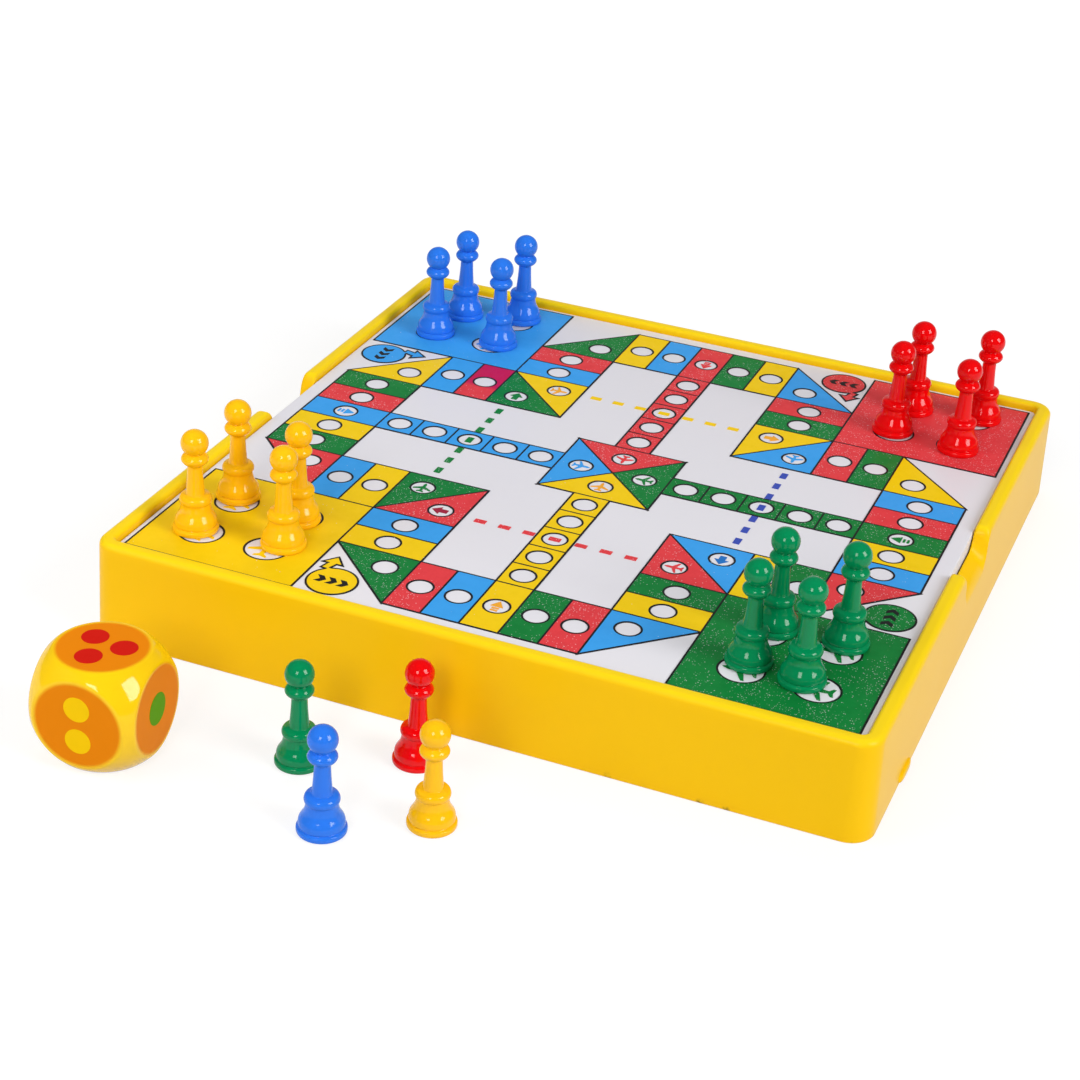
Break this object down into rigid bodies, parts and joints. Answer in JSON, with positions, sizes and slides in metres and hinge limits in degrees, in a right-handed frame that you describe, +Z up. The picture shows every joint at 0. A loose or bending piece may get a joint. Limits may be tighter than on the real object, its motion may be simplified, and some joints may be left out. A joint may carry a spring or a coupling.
{
  "type": "ludo board",
  "caption": "Boxed ludo set: shallow yellow tray with finger notches, a lift-out white panel printed with the track, pawns in the yards and beside it, and a rounded die.",
  "frame": {"origin": "middle of the tray's underside, on the table", "axes": "+Z up out of the board, +Y away from the player, +X to the player's right"},
  "size_m": [0.2264, 0.2863, 0.0587],
  "materials": {
    "tray_yellow": "glossy moulded plastic",
    "panel_white": "glossy moulded plastic",
    "ink_red": "printed ink",
    "ink_blue": "printed ink",
    "ink_yellow": "printed ink",
    "ink_green": "printed ink",
    "ink_black": "printed ink",
    "die_yellow": "glossy moulded plastic",
    "die_orange": "printed ink",
    "pip_red": "printed ink",
    "pip_yellow": "printed ink",
    "pip_green": "printed ink",
    "pawn_red": "glossy moulded plastic",
    "pawn_blue": "glossy moulded plastic",
    "pawn_yellow": "glossy moulded plastic",
    "pawn_green": "glossy moulded plastic"
  },
  "bodies": {
    "tray": {"tray": "tray_yellow"},
    "panel": {"panel": "panel_white", "print_red": "ink_red", "print_blue": "ink_blue", "print_yellow": "ink_yellow", "print_green": "ink_green", "print_outlines": "ink_black"},
    "pawn_yellow_1": {"pawn_yellow_1": "pawn_yellow"},
    "pawn_yellow_2": {"pawn_yellow_2": "pawn_yellow"},
    "pawn_yellow_3": {"pawn_yellow_3": "pawn_yellow"},
    "pawn_yellow_4": {"pawn_yellow_4": "pawn_yellow"},
    "pawn_green_1": {"pawn_green_1": "pawn_green"},
    "pawn_green_2": {"pawn_green_2": "pawn_green"},
    "pawn_green_3": {"pawn_green_3": "pawn_green"},
    "pawn_green_4": {"pawn_green_4": "pawn_green"},
    "pawn_red_1": {"pawn_red_1": "pawn_red"},
    "pawn_red_2": {"pawn_red_2": "pawn_red"},
    "pawn_red_3": {"pawn_red_3": "pawn_red"},
    "pawn_red_4": {"pawn_red_4": "pawn_red"},
    "pawn_blue_1": {"pawn_blue_1": "pawn_blue"},
    "pawn_blue_2": {"pawn_blue_2": "pawn_blue"},
    "pawn_blue_3": {"pawn_blue_3": "pawn_blue"},
    "pawn_blue_4": {"pawn_blue_4": "pawn_blue"},
    "pawn_green_5": {"pawn_green_5": "pawn_green"},
    "pawn_blue_5": {"pawn_blue_5": "pawn_blue"},
    "pawn_red_5": {"pawn_red_5": "pawn_red"},
    "pawn_yellow_5": {"pawn_yellow_5": "pawn_yellow"},
    "die": {"die": "die_yellow", "die_discs": "die_orange", "die_pips_red": "pip_red", "die_pips_yellow": "pip_yellow", "die_pips_green": "pip_green"}
  },
  "joints": [
    {"name": "panel_lift", "type": "slide", "parent": "tray", "child": "panel", "axis": [0, 0, 1], "range_m": [0, 0.08]},
    {"name": "pawn_yellow_1_lift", "type": "slide", "parent": "panel", "child": "pawn_yellow_1", "axis": [0, 0, 1], "range_m": [0, 0.06]},
    {"name": "pawn_yellow_2_lift", "type": "slide", "parent": "panel", "child": "pawn_yellow_2", "axis": [0, 0, 1], "range_m": [0, 0.06]},
    {"name": "pawn_yellow_3_lift", "type": "slide", "parent": "panel", "child": "pawn_yellow_3", "axis": [0, 0, 1], "range_m": [0, 0.06]},
    {"name": "pawn_yellow_4_lift", "type": "slide", "parent": "panel", "child": "pawn_yellow_4", "axis": [0, 0, 1], "range_m": [0, 0.06]},
    {"name": "pawn_green_1_lift", "type": "slide", "parent": "panel", "child": "pawn_green_1", "axis": [0, 0, 1], "range_m": [0, 0.06]},
    {"name": "pawn_green_2_lift", "type": "slide", "parent": "panel", "child": "pawn_green_2", "axis": [0, 0, 1], "range_m": [0, 0.06]},
    {"name": "pawn_green_3_lift", "type": "slide", "parent": "panel", "child": "pawn_green_3", "axis": [0, 0, 1], "range_m": [0, 0.06]},
    {"name": "pawn_green_4_lift", "type": "slide", "parent": "panel", "child": "pawn_green_4", "axis": [0, 0, 1], "range_m": [0, 0.06]},
    {"name": "pawn_red_1_lift", "type": "slide", "parent": "panel", "child": "pawn_red_1", "axis": [0, 0, 1], "range_m": [0, 0.06]},
    {"name": "pawn_red_2_lift", "type": "slide", "parent": "panel", "child": "pawn_red_2", "axis": [0, 0, 1], "range_m": [0, 0.06]},
    {"name": "pawn_red_3_lift", "type": "slide", "parent": "panel", "child": "pawn_red_3", "axis": [0, 0, 1], "range_m": [0, 0.06]},
    {"name": "pawn_red_4_lift", "type": "slide", "parent": "panel", "child": "pawn_red_4", "axis": [0, 0, 1], "range_m": [0, 0.06]},
    {"name": "pawn_blue_1_lift", "type": "slide", "parent": "panel", "child": "pawn_blue_1", "axis": [0, 0, 1], "range_m": [0, 0.06]},
    {"name": "pawn_blue_2_lift", "type": "slide", "parent": "panel", "child": "pawn_blue_2", "axis": [0, 0, 1], "range_m": [0, 0.06]},
    {"name": "pawn_blue_3_lift", "type": "slide", "parent": "panel", "child": "pawn_blue_3", "axis": [0, 0, 1], "range_m": [0, 0.06]},
    {"name": "pawn_blue_4_lift", "type": "slide", "parent": "panel", "child": "pawn_blue_4", "axis": [0, 0, 1], "range_m": [0, 0.06]},
    {"name": "pawn_green_5_lift", "type": "slide", "parent": "tray", "child": "pawn_green_5", "axis": [0, 0, 1], "range_m": [0, 0.06]},
    {"name": "pawn_blue_5_lift", "type": "slide", "parent": "tray", "child": "pawn_blue_5", "axis": [0, 0, 1], "range_m": [0, 0.06]},
    {"name": "pawn_red_5_lift", "type": "slide", "parent": "tray", "child": "pawn_red_5", "axis": [0, 0, 1], "range_m": [0, 0.06]},
    {"name": "pawn_yellow_5_lift", "type": "slide", "parent": "tray", "child": "pawn_yellow_5", "axis": [0, 0, 1], "range_m": [0, 0.06]},
    {"name": "die_lift", "type": "slide", "parent": "tray", "child": "die", "axis": [0, 0, 1], "range_m": [0, 0.06]}
  ]
}
